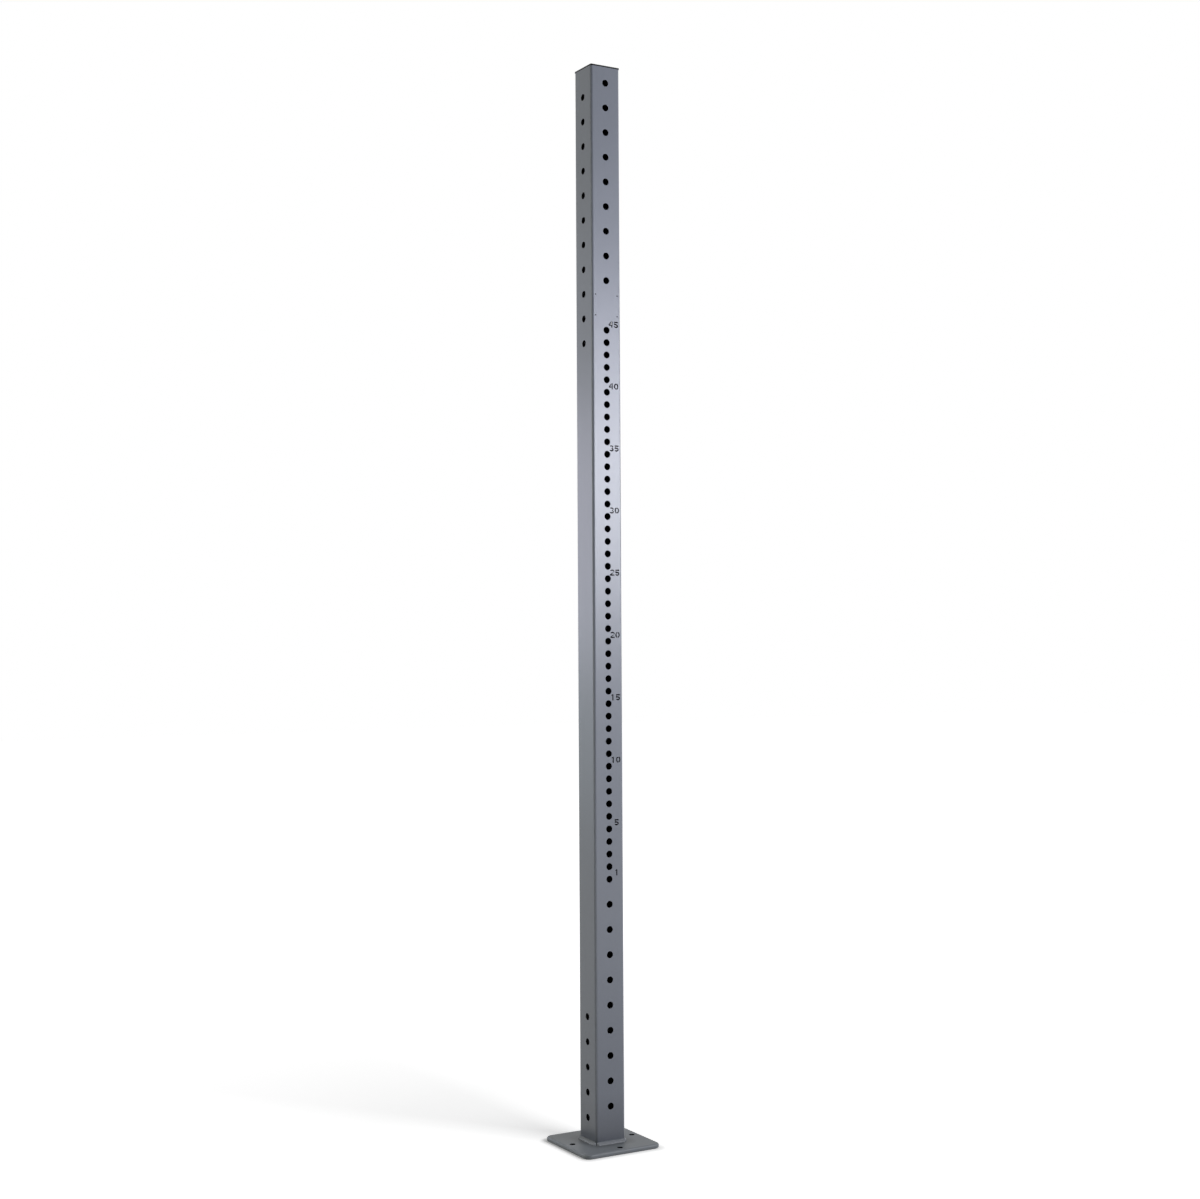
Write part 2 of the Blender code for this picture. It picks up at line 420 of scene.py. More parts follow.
def addPeel(tree, shader, height, feeds):
    peel = addGroup(tree, orangePeel, feeds)
    bump = addNode(tree, "ShaderNodeBump", {"Distance": height, "Height": peel.outputs[0]})
    tree.links.new(bump.outputs[0], shader.inputs["Normal"])


def buildPowderCoat(name, looks, color, roughness, inside, place, paintedShade):
    # inside is the group that tells how deep in a hole a point lies, and place is where its holes are; the
    # last group paints shade on the skin
    material, tree, shader, coords = newMaterial(name)
    toned, rough = addTone(tree, coords, looks, color, roughness)
    depth = addGroup(tree, inside, {"Vector": coords, **place}).outputs["Depth"]
    # painted shade deep in the holes and inside the tube
    dark = ramp(tree, depth, looks["insideStarts"], looks["insideFull"])
    skin = addGroup(tree, paintedShade, {"Vector": coords, "Color": toned}).outputs["Color"]
    tree.links.new(mixColors(tree, dark, skin, looks["insideColor"]), shader.inputs["Base Color"])
    rough = calc(tree, "MAXIMUM", rough, calc(tree, "MULTIPLY", dark, looks["insideRoughness"]))
    tree.links.new(rough, shader.inputs["Roughness"])
    tree.links.new(calc(tree, "MULTIPLY", dark, looks["insideMetallic"]), shader.inputs["Metallic"])
    addPeel(tree, shader, looks["dimpleHeight"], {"Vector": coords})
    return material


plasticLooks = {
    "color": (0.006, 0.006, 0.0065, 1.0),
    "shine": 0.12,
    "roughness": 0.62,
    "roughnessSpread": 0.12,
    "patchScale": 60.0,
    "patchStrength": 0.25,
    "dimpleScale": 1500.0,
    "grainScale": 4000.0,
    "grainHeight": 0.00003,
}


def buildBlackPlastic(looks):
    material, tree, shader, coords = newMaterial("black plastic")
    toned, rough = addTone(tree, coords, looks, looks["color"], looks["roughness"])
    tree.links.new(toned, shader.inputs["Base Color"])
    tree.links.new(rough, shader.inputs["Roughness"])
    shader.inputs["Specular IOR Level"].default_value = looks["shine"]
    addPeel(tree, shader, looks["grainHeight"], {
        "Vector": coords, "Dimple Scale": looks["dimpleScale"], "Grain Scale": looks["grainScale"],
    })
    return material


blackPlastic = buildBlackPlastic(plasticLooks)
print("finishes ready")


# Drilled sheets: one group drills rows of softened holes, another fills a sheet round them

rimSteps = 3


def newRim(name, radius, lip, depth, sides):
    # the bore of one hole, with its edges rounded over into the sheet's two faces
    turns = [math.radians(90 + 90 * step / rimSteps) for step in range(rimSteps + 1)]
    upper = [(radius + lip + lip * math.cos(a), -lip + lip * math.sin(a)) for a in turns]
    lower = [(reach, -depth - drop) for reach, drop in reversed(upper)]
    work = bmesh.new()
    rings = []
    for reach, height in upper + lower:
        angles = [2 * math.pi * side / sides for side in range(sides)]
        rings.append([Vector((reach * math.cos(a), reach * math.sin(a), height)) for a in angles])
    stackRings(work, rings)
    return newPiece(name, work)


def buildHoleSet():
    # circles to leave open in the sheet, and a rim for each, on the same points
    ins = {
        "Points": "Geometry",
        "Rim": "Object",
        "Opening": 0.009,
        "Sides": 32,
    }
    outs = {"Circles": "Geometry", "Rims": "Geometry"}
    tree, given, out = newTree("hole set", "GeometryNodeTree", ins, outs)
    circle = addNode(
        tree, "GeometryNodeCurvePrimitiveCircle",
        {"Resolution": given["Sides"], "Radius": given["Opening"]},
    )
    for shape, label in ((circle.outputs["Curve"], "Circles"), (shapeOf(tree, given["Rim"]), "Rims")):
        copies = addNode(
            tree, "GeometryNodeInstanceOnPoints", {"Points": given["Points"], "Instance": shape}
        )
        real = addNode(tree, "GeometryNodeRealizeInstances", {"Geometry": copies.outputs[0]})
        tree.links.new(real.outputs[0], out[label])
    return tree


def buildDrilledSheet():
    # two flat faces with openings, a sheet's thickness apart, and straight walls at the cuts
    ins = {
        "Outline": "Geometry",
        "Openings": "Geometry",
        "Cuts": "Geometry",
        "Rims": "Geometry",
        "Thickness": 0.004,
    }
    tree, given, out = newTree("drilled sheet", "GeometryNodeTree", ins, {"Sheet": "Geometry"})
    lines = join(tree, given["Outline"], given["Openings"], given["Cuts"])
    face = addNode(tree, "GeometryNodeFillCurve", {"Curve": lines}, mode="TRIANGLES").outputs[0]
    down = vector(tree, z=calc(tree, "MULTIPLY", given["Thickness"], -1.0))
    under = move(tree, face, down)
    edges = addNode(tree, "GeometryNodeCurveToMesh", {"Curve": given["Cuts"]}).outputs[0]
    walls = addNode(
        tree, "GeometryNodeExtrudeMesh",
        {"Mesh": edges, "Offset": down, "Offset Scale": 1.0}, mode="EDGES",
    ).outputs[0]
    tree.links.new(join(tree, face, under, walls, given["Rims"]), out["Sheet"])
    return tree


holeSet = buildHoleSet()
drilledSheet = buildDrilledSheet()


def addHoleSet(tree, points, rim, opening, sides):
    node = addGroup(tree, holeSet, {"Points": points, "Rim": rim, "Opening": opening, "Sides": sides})
    return node.outputs["Circles"], node.outputs["Rims"]


def addSheet(tree, outline, openings, rims, thickness, cuts=None):
    feeds = {"Outline": outline, "Openings": openings, "Rims": rims, "Thickness": thickness}
    if cuts:
        feeds["Cuts"] = cuts
    return addGroup(tree, drilledSheet, feeds).outputs["Sheet"]


# The numbers cut through the front wall: stencil strokes, in millimetres and degrees

numberLooks = {
    "labels": (1, 5, 10, 15, 20, 25, 30, 35, 40, 45),
    "digitWidth": 12.0,
    "digitHeight": 14.8,
    "gap": 2.0,
    "stroke": 3.1,
    "bridge": 0.9,
    "above": 15.0,  # middle of a number above the middle of its hole
    "pairCentre": 19.2,  # beside the line of holes
    "singleCentre": 20.5,
    "arcSteps": 18,
    "0": {"bridgeTurn": 9},
    "1": {"nib": 0.4, "flag": 2.6, "flagTop": 2.0, "flagFoot": 4.4, "flagRoot": 2.8},
    "2": {"bowl": 0.29, "neck": 1.62, "turn": (165, -18), "foot": 3.6, "left": 4.3, "right": 0.9},
    "3": {
        "top": 0.25, "low": 0.285, "shift": 0.2, "narrow": 0.9,
        "topTurn": (160, -38), "lowTurn": (84, -160),
    },
    "4": {"stem": 0.6, "bar": 0.26, "counter": 2.9, "slant": 4.4},
    "5": {"bowl": 0.32, "left": 0.9, "right": 0.2, "turn": (108, -158)},
}
perMetre = 1000  # millimetres


def arcBand(cx, cy, reachX, reachY, turn, looks):
    (start, end), width, steps = turn, looks["stroke"], looks["arcSteps"]
    angles = [math.radians(start + (end - start) * step / steps) for step in range(steps + 1)]
    outer = [(cx + reachX * math.cos(a), cy + reachY * math.sin(a)) for a in angles]
    inner = [(cx + (reachX - width) * math.cos(a), cy + (reachY - width) * math.sin(a)) for a in angles]
    return outer + inner[::-1]


def digitStrokes(digit, looks):
    w, h, s, bridge = (looks[name] for name in ("digitWidth", "digitHeight", "stroke", "bridge"))
    half, middle, own = w / 2, h / 2, looks[digit]
    if digit == "0":
        gap = own["bridgeTurn"]
        return [
            arcBand(half, middle, half, middle, turn, looks)
            for turn in ((90 + gap, 270 - gap), (gap - 90, 90 - gap))
        ]
    if digit == "1":
        stem = half - s / 2
        tip, root = stem - own["flag"], h - own["flagRoot"]
        flag = [(stem + own["nib"], h), (tip, h - own["flagTop"]), (tip, h - own["flagFoot"]), (stem, root)]
        return [[(stem, 0), (stem + s, 0), (stem + s, h), *flag]]
    if digit == "2":
        bowl = h * own["bowl"]
        neck = h - bowl * own["neck"]
        slant = [(own["foot"], s), (w - own["right"], neck), (w - own["left"], neck), (0, s)]
        return [
            arcBand(half, h - bowl, half, bowl, own["turn"], looks),
            [(w, 0), (w, s), *slant, (0, 0)],
        ]
    if digit == "3":
        top, low, centre = h * own["top"], h * own["low"], half - own["shift"]
        return [
            arcBand(centre, h - top, half - own["narrow"], top, own["topTurn"], looks),
            arcBand(centre, low, half, low, own["lowTurn"], looks),
        ]
    if digit == "4":
        stem, bar = w * own["stem"], h * own["bar"]
        edge, barTop = stem - bridge, bar + s
        counter = [(edge, barTop), (own["counter"], barTop), (edge, h - own["slant"])]
        return [
            [(0, bar), (edge, bar), *counter, (edge, h), (0, barTop)],
            [(stem, 0), (stem + s, 0), (stem + s, h), (stem, h)],
        ]
    bowl, left, right, under = h * own["bowl"], own["left"], w - own["right"], h - s - bridge
    body = arcBand(half, bowl, half, bowl, own["turn"], looks)
    return [
        [(left, h - s), (right, h - s), (right, h), (left, h)],
        body + [(left, body[-1][1]), (left, under), (body[0][0], under)],
    ]


def numberOutlines(sizes, looks):
    # each number stands beside the pin hole that it counts, the first on the lowest close row
    outlines = []
    pitch = looks["digitWidth"] + looks["gap"]
    for label in looks["labels"]:
        digits = str(label)
        centre = looks["pairCentre"] if len(digits) > 1 else looks["singleCentre"]
        left = centre - (pitch * len(digits) - looks["gap"]) / 2
        hole = sizes["firstHole"] + sizes["grid"] * (2 * sizes["lowCount"] + label - 1)
        low = hole * perMetre + looks["above"] - looks["digitHeight"] / 2
        for place, digit in enumerate(digits):
            shift = left + pitch * place
            for stroke in digitStrokes(digit, looks):
                outlines.append([((x + shift) / perMetre, (y + low) / perMetre) for x, y in stroke])
    return outlines


# The upright tube

tube = {
    "wall": 0.004,
    "cornerRadius": 0.006,
    "cornerSteps": 10,
    "pinHole": 0.0165,
    "pinLip": 0.0003,
    "pinSides": 32,
    "grid": 0.030,
    "firstHole": 0.100,
    "lowCount": 9,
    "closeCount": 45,
    "highCount": 9,
    "blankLines": 4,
    "lowSideCount": 5,
    "highSideCount": 11,
    "rivetHole": 0.0032,
    "rivetLip": 0.0001,
    "rivetSides": 16,
    "rivetWidth": 0.060,  # between their middles
    "rivetHeight": 0.050,
    "crease": 40,  # edges that turn by more degrees stay sharp
}
tube["side"] = tubeHigh.x - tubeLow.x
tube["bottom"] = plateHigh.z  # down through the solids' contact gap, onto the plate
tube["top"] = tubeHigh.z
# the post's coat, with painted shade at its foot and near black painted shade in its holes and inside
postCoat = buildPowderCoat(
    "grey powder coat on the post", coatLooks, coatLooks["color"], coatLooks["postRoughness"],
    wallDepth, {"Half Side": tube["side"] / 2, "Corner Radius": tube["cornerRadius"]}, footShade,
)


def cornerShell(sizes):
    # the four rounded corners, inside and out, and the two cut ends
    outer = roundedSquare(sizes["side"], sizes["cornerRadius"], sizes["cornerSteps"])
    inner = roundedSquare(
        sizes["side"] - 2 * sizes["wall"], sizes["cornerRadius"] - sizes["wall"], sizes["cornerSteps"]
    )
    lift = {"low": Vector((0, 0, sizes["bottom"])), "high": Vector((0, 0, sizes["top"]))}
    work = bmesh.new()
    rows = {}
    for skin, points in (("outer", outer), ("inner", inner)):
        for end, shift in lift.items():
            rows[skin, end] = [work.verts.new(point + shift) for point in points]
    count = len(outer)
    for here in range(count):
        after = (here + 1) % count
        for end in ("low", "high"):
            a, b = rows["outer", end], rows["inner", end]
            work.faces.new((a[here], a[after], b[after], b[here]))
        if after % (sizes["cornerSteps"] + 1) == 0:
            continue  # a flat side, which the drilled wall fills
        for skin in ("outer", "inner"):
            a, b = rows[skin, "low"], rows[skin, "high"]
            work.faces.new((a[here], a[after], b[after], b[here]))
    return newPiece("perforatedUpright", work)


def buildPerforatedTube():
    # three kinds of drilled wall, stood up round the corners: the numbered front, the back and the sides
    ins = {
        "Geometry": "Geometry",
        "Side": 0.08,
        "Wall": 0.004,
        "Corner Radius": 0.006,
        "Bottom": 0.0,
        "Top": 1.0,
        "Grid": 0.03,
        "First Hole": 0.1,
        "Low Count": 9,
        "Close Count": 45,
        "High Count": 9,
        "Blank Lines": 4,
        "Low Side Count": 5,
        "High Side Count": 11,
        "Pin Opening": 0.009,
        "Pin Sides": 32,
        "Pin Rim": "Object",
        "Rivet Opening": 0.002,
        "Rivet Sides": 16,
        "Rivet Rim": "Object",
        "Rivet Width": 0.06,
        "Rivet Height": 0.05,
        "Numbers": "Object",
        "Material": "Material",
    }
    tree, given, out = newTree("perforated tube", "GeometryNodeTree", ins, {"Geometry": "Geometry"})
    grid, first = given["Grid"], given["First Hole"]

    def row(start, pitch, count):
        return addNode(tree, "GeometryNodeMeshLine", {
            "Count": count, "Start Location": vector(tree, y=start), "Offset": vector(tree, y=pitch),
        }).outputs[0]

    wide = calc(tree, "MULTIPLY", grid, 2.0)
    closeStart = calc(tree, "MULTIPLY_ADD", wide, given["Low Count"], first)
    lastClose = calc(tree, "SUBTRACT", given["Close Count"], 1.0)
    blankStart = calc(tree, "MULTIPLY_ADD", grid, lastClose, closeStart)
    highStart = calc(tree, "MULTIPLY_ADD", grid, given["Blank Lines"], blankStart)
    lastHigh = calc(tree, "SUBTRACT", given["High Count"], 1.0)
    highest = calc(tree, "MULTIPLY_ADD", wide, lastHigh, highStart)
    frontRows = join(
        tree,
        row(first, wide, given["Low Count"]),
        row(closeStart, grid, given["Close Count"]),
        row(highStart, wide, given["High Count"]),
    )
    sideStart = calc(tree, "SUBTRACT", first, grid)
    topSide = calc(tree, "SUBTRACT", highest, grid)
    down = calc(tree, "MULTIPLY", wide, -1.0)
    sideRows = join(
        tree,
        row(sideStart, wide, given["Low Side Count"]),
        row(topSide, down, given["High Side Count"]),
    )

    height = calc(tree, "SUBTRACT", given["Top"], given["Bottom"])
    middle = calc(tree, "MULTIPLY", calc(tree, "ADD", given["Top"], given["Bottom"]), 0.5)
    width = calc(tree, "MULTIPLY_ADD", given["Corner Radius"], -2.0, given["Side"])
    outline = addNode(tree, "GeometryNodeCurvePrimitiveQuadrilateral", {"Width": width, "Height": height})
    outline = move(tree, outline.outputs[0], vector(tree, y=middle))

    blank = calc(tree, "MULTIPLY", grid, given["Blank Lines"])
    rivetMiddle = calc(tree, "MULTIPLY_ADD", blank, 0.5, blankStart)
    rivetFrame = addNode(tree, "GeometryNodeCurvePrimitiveQuadrilateral", {
        "Width": given["Rivet Width"], "Height": given["Rivet Height"],
    })
    rivetFrame = move(tree, rivetFrame.outputs[0], vector(tree, y=rivetMiddle))
    rivetPoints = addNode(tree, "GeometryNodeCurveToMesh", {"Curve": rivetFrame}).outputs[0]

    pinRims, pinSizes = given["Pin Rim"], (given["Pin Opening"], given["Pin Sides"])
    circles, rims = addHoleSet(tree, frontRows, pinRims, *pinSizes)
    plainFace = addSheet(tree, outline, circles, rims, given["Wall"])
    sideFace = addSheet(tree, outline, *addHoleSet(tree, sideRows, pinRims, *pinSizes), given["Wall"])
    rivets = addHoleSet(tree, rivetPoints, given["Rivet Rim"], given["Rivet Opening"], given["Rivet Sides"])
    frontFace = addSheet(
        tree, outline, join(tree, circles, rivets[0]), join(tree, rims, rivets[1]), given["Wall"],
        shapeOf(tree, given["Numbers"]),
    )
    outward = vector(tree, y=calc(tree, "MULTIPLY", given["Side"], -0.5))
    walls = []
    for turns, face in enumerate((frontFace, sideFace, plainFace, sideFace)):
        stood = move(tree, face, outward, (math.radians(90), 0, 0))
        walls.append(move(tree, stood, turn=(0, 0, math.radians(90 * turns))))
    whole = addNode(tree, "GeometryNodeMergeByDistance", {
        "Geometry": join(tree, given["Geometry"], *walls), "Distance": 2 * samePlace,
    })
    endTree(tree, whole.outputs[0], given, out)
    return tree


def makeTube(sizes):
    piece = cornerShell(sizes)
    pinRim = newRim("pinRim", sizes["pinHole"] / 2, sizes["pinLip"], sizes["wall"], sizes["pinSides"])
    rivetRim = newRim(
        "rivetRim", sizes["rivetHole"] / 2, sizes["rivetLip"], sizes["wall"], sizes["rivetSides"]
    )
    numbers = newOutline("cutNumbers", numberOutlines(sizes, numberLooks))
    useTree(piece, buildPerforatedTube(), sizes, {
        "Pin Opening": sizes["pinHole"] / 2 + sizes["pinLip"],
        "Pin Rim": pinRim,
        "Rivet Opening": sizes["rivetHole"] / 2 + sizes["rivetLip"],
        "Rivet Rim": rivetRim,
        "Numbers": numbers,
        "Material": postCoat,
    })
    flatten(piece)
    smoothPiece(piece, sizes["crease"])
    drop(pinRim, rivetRim, numbers)
    handOver(piece, "upright_tube")


makeTube(tube)
print("upright tube made")


# The foot plate

foot = {
    "cornerRadius": 0.017,
    "cornerSteps": 14,
    "edgeRadius": 0.005,
    "edgeSteps": 7,
    "anchorHole": 0.012,
    "anchorLip": 0.0005,
    "anchorSides": 32,
    "anchorCount": 4,
    "anchorReach": 0.0825,
    "anchorDark": 0.0073,  # painted shade: a bore's dark starts just outside its lip, on the plate's top
    "crease": 40,
}
foot["side"] = plateHigh.x - plateLow.x
foot["thickness"] = plateHigh.z - plateLow.z
anchors = {"Reach": foot["anchorReach"], "Radius": foot["anchorDark"]}
# the foot's coat, with painted shade in its anchor bores and round the beads' toes
footCoat = buildPowderCoat(
    "grey powder coat on the foot", coatLooks, coatLooks["footColor"], coatLooks["footRoughness"],
    boreDepth, anchors, toeShade,
)


def buildDrilledPlate():
    ins = {
        "Geometry": "Geometry",
        "Outline": "Object",
        "Thickness": 0.012,
        "Anchor Reach": 0.0825,
        "Anchor Count": 4,
        "Anchor Opening": 0.0065,
        "Anchor Sides": 32,
        "Anchor Rim": "Object",
        "Material": "Material",
    }
    tree, given, out = newTree("drilled plate", "GeometryNodeTree", ins, {"Geometry": "Geometry"})
    outline = shapeOf(tree, given["Outline"])
    spots = addNode(tree, "GeometryNodeCurvePrimitiveCircle", {
        "Resolution": given["Anchor Count"], "Radius": given["Anchor Reach"],
    }).outputs["Curve"]
    spots = addNode(tree, "GeometryNodeCurveToMesh", {"Curve": spots}).outputs[0]
    circles, rims = addHoleSet(
        tree, spots, given["Anchor Rim"], given["Anchor Opening"], given["Anchor Sides"]
    )
    sheet = addSheet(tree, outline, circles, rims, given["Thickness"])
    raised = move(tree, sheet, vector(tree, z=given["Thickness"]))
    whole = addNode(tree, "GeometryNodeMergeByDistance", {
        "Geometry": join(tree, given["Geometry"], raised), "Distance": 2 * samePlace,
    })
    endTree(tree, whole.outputs[0], given, out)
    return tree


def edgeRings(side, corner, steps, low, high, radius, roundSteps, roundLow=True):
    # rings up the outside of a slab whose long edges are rounded over
    turns = [math.radians(90 * step / roundSteps) for step in range(roundSteps + 1)]
    arc = [(radius * (1 - math.cos(turn)), radius * (1 - math.sin(turn))) for turn in turns]
    lower = [(inset, low + rise) for inset, rise in reversed(arc)] if roundLow else [(0.0, low)]
    rings = lower + [(inset, high - rise) for inset, rise in arc]
    return [roundedSquare(side - 2 * inset, corner - inset, steps, z) for inset, z in rings]


def makeFoot(sizes):
    work = bmesh.new()
    rings = edgeRings(
        sizes["side"], sizes["cornerRadius"], sizes["cornerSteps"],
        0.0, sizes["thickness"], sizes["edgeRadius"], sizes["edgeSteps"],
    )
    stackRings(work, rings)
    piece = newPiece("drilledFootPlate", work)
    outline = newOutline("footOutline", [rings[-1]])
    rim = newRim(
        "anchorRim", sizes["anchorHole"] / 2, sizes["anchorLip"], sizes["thickness"], sizes["anchorSides"]
    )
    useTree(piece, buildDrilledPlate(), sizes, {
        "Outline": outline,
        "Anchor Opening": sizes["anchorHole"] / 2 + sizes["anchorLip"],
        "Anchor Rim": rim,
        "Material": footCoat,
    })
    flatten(piece)
    smoothPiece(piece, sizes["crease"])
    drop(outline, rim)
    handOver(piece, "base_plate")


makeFoot(foot)
print("foot plate made")


# The weld beads: each follows the foot of one face, rippled along its length

weld = {
    "leg": 0.0072,
    "sink": 0.0004,  # how far a bead's root runs into the tube and the plate
    "flatness": 0.45,  # 0 is a quarter round, 1 a flat fillet
    "ripplePitch": 0.0024,
    "rippleDepth": 0.09,  # share of the leg
    "rippleCurve": 0.0014,  # how far the middle of a ripple trails its ends
    "wander": 0.1,  # share of the leg, from the thinnest bead to the thickest
    "wanderScale": 160.0,
    "pitchDrift": 1.5,  # ripples, from the furthest behind to the furthest ahead
    "endRound": 0.004,
    "stepsPerPitch": 6,
    "stepsAcross": 10,
    "crease": 60,
    "runs": {  # the way the face looks in degrees, the bead's two ends along it, and a seed
        "weld_front": (0, -0.0385, 0.0375, 3),
        "weld_right": (90, -0.0385, 0.0385, 11),
        "weld_back": (180, -0.0385, 0.0385, 19),
        "weld_left": (270, -0.04, 0.038, 27),
    },
}


def buildWeldBead():
    # a grid laid along X: across it, the bead turns a quarter circle from the plate to the wall
    ins = {
        "Geometry": "Geometry",
        "Length": 0.07,
        "Leg": 0.006,
        "Flatness": 0.4,
        "Ripple Pitch": 0.0024,
        "Ripple Depth": 0.08,
        "Ripple Curve": 0.0014,
        "Wander": 0.1,
        "Wander Scale": 160.0,
        "Pitch Drift": 1.5,
        "End Round": 0.006,
        "Steps Along": 160,
        "Steps Across": 10,
        "Seed": 0,
        "Material": "Material",
    }
    tree, given, out = newTree("weld bead", "GeometryNodeTree", ins, {"Geometry": "Geometry"})
    across = calc(tree, "ADD", given["Steps Across"], 2.0)
    grid = addNode(tree, "GeometryNodeMeshGrid", {
        "Size X": given["Length"],
        "Size Y": across,
        "Vertices X": calc(tree, "ADD", given["Steps Along"], 1.0),
        "Vertices Y": calc(tree, "ADD", across, 1.0),
    })
    where = addNode(tree, "ShaderNodeSeparateXYZ", {
        "Vector": addNode(tree, "GeometryNodeInputPosition").outputs[0],
    })
    along = where.outputs["X"]
    column = calc(tree, "ADD", where.outputs["Y"], calc(tree, "MULTIPLY", across, 0.5))
    share = calc(tree, "DIVIDE", calc(tree, "SUBTRACT", column, 1.0), given["Steps Across"])
    held = addNode(tree, "ShaderNodeClamp", {"Value": share}).outputs[0]
    turn = calc(tree, "MULTIPLY", held, math.pi / 2)
    cosine, sine = calc(tree, "COSINE", turn), calc(tree, "SINE", turn)
    # the first and last columns fall onto the root, which closes the bead behind
    overHalf = 0.501
    offRoot = calc(tree, "LESS_THAN", calc(tree, "ABSOLUTE", calc(tree, "SUBTRACT", share, 0.5)), overHalf)
    straight = calc(tree, "DIVIDE", 1.0, calc(tree, "ADD", cosine, sine))
    lean = calc(tree, "MULTIPLY", calc(tree, "SUBTRACT", straight, 1.0), given["Flatness"])
    belly = calc(tree, "ADD", lean, 1.0)
    # rounded ends
    halfLength = calc(tree, "MULTIPLY", given["Length"], 0.5)
    fromEnd = calc(tree, "SUBTRACT", halfLength, calc(tree, "ABSOLUTE", along))
    back = calc(tree, "SUBTRACT", 1.0, calc(tree, "DIVIDE", fromEnd, given["End Round"]))
    back = addNode(tree, "ShaderNodeClamp", {"Value": back}).outputs[0]
    ends = calc(tree, "SQRT", calc(tree, "SUBTRACT", 1.0, calc(tree, "MULTIPLY", back, back)))
    # ripples, each trailing in the middle, and a slow change of size along the run
    bow = calc(tree, "SINE", calc(tree, "MULTIPLY", turn, 2.0))
    bend = calc(tree, "MULTIPLY", bow, given["Ripple Curve"])
    seedStep = 7.31
    seedShift = calc(tree, "MULTIPLY", given["Seed"], seedStep)
    slow = noise(tree, vector(tree, x=along, y=seedShift), given["Wander Scale"], detail=1.0)
    slow = calc(tree, "SUBTRACT", slow, 0.5)
    phase = calc(tree, "DIVIDE", calc(tree, "ADD", along, bend), given["Ripple Pitch"])
    phase = calc(tree, "ADD", phase, calc(tree, "MULTIPLY", slow, given["Pitch Drift"]))
    scallop = calc(tree, "ABSOLUTE", calc(tree, "SINE", calc(tree, "MULTIPLY", phase, math.pi)))
    ripple = calc(tree, "MULTIPLY", calc(tree, "SUBTRACT", scallop, 1.0), given["Ripple Depth"])
    swell = calc(tree, "MULTIPLY", slow, given["Wander"])
    size = calc(tree, "ADD", calc(tree, "ADD", ripple, swell), 1.0)
    reach = given["Leg"]
    for factor in (belly, ends, offRoot, size):
        reach = calc(tree, "MULTIPLY", reach, factor)
    forward = calc(tree, "MULTIPLY", calc(tree, "MULTIPLY", reach, cosine), -1.0)
    place = vector(tree, along, forward, calc(tree, "MULTIPLY", reach, sine))
    shaped = addNode(tree, "GeometryNodeSetPosition", {"Geometry": grid.outputs["Mesh"], "Position": place})
    closed = addNode(tree, "GeometryNodeMergeByDistance", {
        "Geometry": shaped.outputs[0], "Distance": samePlace,
    })
    endTree(tree, closed.outputs[0], given, out)
    return tree


def makeWelds(sizes):
    # the beads' coat: lighter, as a painted highlight, with painted shade at their toes
    beadCoat = buildPowderCoat(
        "grey powder coat on the beads", coatLooks, coatLooks["beadColor"], coatLooks["beadRoughness"],
        boreDepth, anchors, toeShade,
    )
    tree = buildWeldBead()
    wallFace = tube["side"] / 2 - sizes["sink"]
    for node, (facing, start, end, seed) in sizes["runs"].items():
        piece = newPiece(node.replace("weld_", "bead_"))
        length = end - start
        useTree(piece, tree, sizes, {
            "Length": length,
            "Leg": sizes["leg"] + sizes["sink"],
            "Steps Along": round(length / sizes["ripplePitch"] * sizes["stepsPerPitch"]),
            "Seed": seed,
            "Material": beadCoat,
        })
        flatten(piece)
        root = Matrix.Translation(((start + end) / 2, -wallFace, plateHigh.z - sizes["sink"]))
        piece.data.transform(Matrix.Rotation(math.radians(facing), 4, "Z") @ root)
        smoothPiece(piece, sizes["crease"])
        handOver(piece, node)


makeWelds(weld)
print("weld beads made")


# The plug in the open top: a rounded flange over a hollow skirt with gripping fins

plug = {
    "flangeCorner": 0.003,
    "flangeRound": 0.0003,
    "roundSteps": 4,
    "cornerSteps": 8,
    "crown": 0.0003,
    "crownShares": (0.12, 0.3, 0.55, 0.8),  # of the way in, where the crown's rings lie
    "skirtSide": 0.066,
    "skirtWall": 0.0025,
    "skirtCorner": 0.004,
    "skirtDepth": 0.022,
    "skirtEdge": 0.0003,  # the cut round its foot
    "finCount": 4,
    "finThickness": 0.0012,
    "finTip": 0.0005,
    "finFirst": 0.005,
    "finPitch": 0.0045,
    "finReach": 0.0357,  # half the width across the fins
    "finCorner": 0.0017,
    "finRoot": 0.001,  # how far it runs into the skirt
    "finEdge": 0.0003,
    "finBend": 0.0004,  # how far its tip turns up, below and above
    "finTopBend": 0.0006,
    "crease": 40,
}


def buildFins():
    ins = {
        "Geometry": "Geometry",
        "Fin": "Object",
        "Fin Count": 4,
        "First Height": 0.0,
        "Fin Pitch": 0.0045,
        "Material": "Material",
    }
    tree, given, out = newTree("plug fins", "GeometryNodeTree", ins, {"Geometry": "Geometry"})
    line = addNode(tree, "GeometryNodeMeshLine", {
        "Count": given["Fin Count"], "Start Location": vector(tree, z=given["First Height"]),
        "Offset": vector(tree, z=calc(tree, "MULTIPLY", given["Fin Pitch"], -1.0)),
    })
    copies = addNode(tree, "GeometryNodeInstanceOnPoints", {
        "Points": line.outputs[0], "Instance": shapeOf(tree, given["Fin"]),
    })
    endTree(tree, join(tree, given["Geometry"], copies.outputs[0]), given, out)
    return tree


def flangeRings(sizes, steps):
    # up the flange's side and over its slight crown
    side, corner, edge = tube["side"], sizes["flangeCorner"], sizes["flangeRound"]
    low, high, crown = tube["top"], capTop, sizes["crown"]
    rings = edgeRings(side, corner, steps, low, high - crown, edge, sizes["roundSteps"], roundLow=False)
    for share in sizes["crownShares"]:
        left = 1 - share
        dip = crown * left ** 2
        rings.append(roundedSquare((side - 2 * edge) * left, (corner - edge) * left, steps, high - dip))
    return rings


